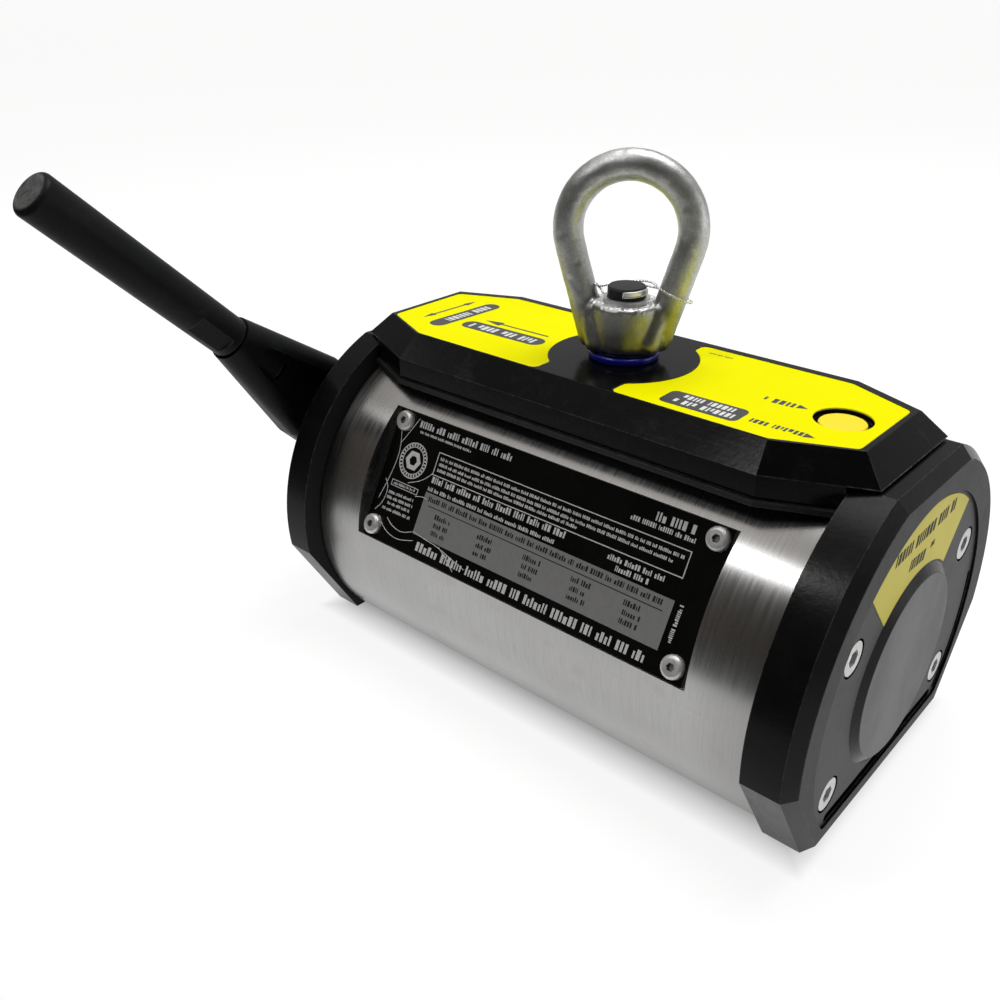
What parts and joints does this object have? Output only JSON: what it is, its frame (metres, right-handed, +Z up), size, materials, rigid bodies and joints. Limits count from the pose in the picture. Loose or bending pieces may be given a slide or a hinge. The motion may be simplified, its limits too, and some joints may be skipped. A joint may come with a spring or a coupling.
{
  "type": "lifting magnet",
  "caption": "Hand-switched permanent lifting magnet: round steel body on flat pole faces, black end caps and cover, swivelling lifting eye and a spring-returned switching lever.",
  "frame": {"origin": "on the ground plane of the pole faces, under the rotor axis, midway between the two end caps' inner faces", "axes": "+X along the rotor axis towards the plain end cap, -Y towards the data plate, +Z up through the lifting eye"},
  "size_m": [0.3092, 0.2543, 0.2308],
  "materials": {
    "front_pole": "turned and brushed steel",
    "rear_pole": "turned and brushed steel",
    "top_spacer": "plain",
    "bottom_spacer": "ground",
    "right_end_cap": "semi-gloss black",
    "left_end_cap": "semi-gloss black",
    "right_cap_gasket": "matte",
    "left_cap_gasket": "matte",
    "right_cap_screws": "zinc plated",
    "left_cap_screws": "zinc plated",
    "right_bush": "sintered bronze",
    "left_bush": "sintered bronze",
    "shaft_seal": "matte",
    "arc_label": "printed film",
    "top_cover": "gloss black",
    "cover_gasket": "satin black",
    "cover_screws": "zinc plated",
    "cover_label_left": "glossy printed film",
    "cover_label_right": "glossy printed film",
    "tag_plug": "moulded",
    "anchor_block": "machined",
    "anchor_screws": "black oxide",
    "swivel_ring": "moulded blue polymer",
    "lifting_eye": "forged, zinc plated",
    "eye_bolt": "black oxide",
    "eye_bolt_washer": "black oxide",
    "swivel_collar": "black",
    "thrust_washer": "bronze",
    "eye_nut": "plain",
    "seal_wire": "bright wire",
    "seal_ferrule": "crimped",
    "rotor_upper_pole": "machined",
    "rotor_lower_pole": "machined",
    "rotor_magnets": "nickel plated",
    "rotor_left_plate": "machined",
    "rotor_right_plate": "machined",
    "rotor_rods": "plain",
    "retaining_washer": "zinc plated",
    "retaining_screw": "zinc plated",
    "handle_arm": "black, cast texture",
    "handle_bar": "black",
    "stop_pin": "hardened",
    "return_spring": "spring steel",
    "data_plate": "black with bare lines",
    "data_plate_screws": "stainless"
  },
  "bodies": {
    "body": {"front_pole": "front_pole", "rear_pole": "rear_pole", "top_spacer": "top_spacer", "bottom_spacer": "bottom_spacer", "right_end_cap": "right_end_cap", "left_end_cap": "left_end_cap", "right_cap_gasket": "right_cap_gasket", "left_cap_gasket": "left_cap_gasket", "right_cap_screws": "right_cap_screws", "left_cap_screws": "left_cap_screws", "right_bush": "right_bush", "left_bush": "left_bush", "shaft_seal": "shaft_seal", "arc_label": "arc_label", "top_cover": "top_cover", "cover_gasket": "cover_gasket", "cover_screws": "cover_screws", "cover_label_left": "cover_label_left", "cover_label_right": "cover_label_right", "tag_plug": "tag_plug", "anchor_block": "anchor_block", "anchor_screws": "anchor_screws", "swivel_ring": "swivel_ring", "data_plate": "data_plate", "data_plate_screws": "data_plate_screws"},
    "rotor": {"rotor_upper_pole": "rotor_upper_pole", "rotor_lower_pole": "rotor_lower_pole", "rotor_magnets": "rotor_magnets", "rotor_left_plate": "rotor_left_plate", "rotor_right_plate": "rotor_right_plate", "rotor_rods": "rotor_rods", "retaining_washer": "retaining_washer", "retaining_screw": "retaining_screw", "return_spring": "return_spring"},
    "handle": {"handle_arm": "handle_arm", "handle_bar": "handle_bar", "stop_pin": "stop_pin"},
    "swivel": {"lifting_eye": "lifting_eye", "eye_bolt": "eye_bolt", "eye_bolt_washer": "eye_bolt_washer", "swivel_collar": "swivel_collar", "thrust_washer": "thrust_washer", "eye_nut": "eye_nut", "seal_wire": "seal_wire", "seal_ferrule": "seal_ferrule"}
  },
  "joints": [
    {"name": "lever_turn", "type": "hinge", "parent": "body", "child": "rotor", "pos_m": [0, 0, 0.058], "axis": [-1, 0, 0], "range_deg": [0, 90]},
    {"name": "lever_pull", "type": "slide", "parent": "rotor", "child": "handle", "axis": [-1, 0, 0], "range_m": [0, 0.008], "stiffness_N_per_m": 2500, "springref_m": -0.004, "deforming": ["return_spring"]},
    {"name": "eye_swivel", "type": "hinge", "parent": "body", "child": "swivel", "pos_m": [0, 0, 0.158], "axis": [0, 0, 1], "continuous": true}
  ]
}
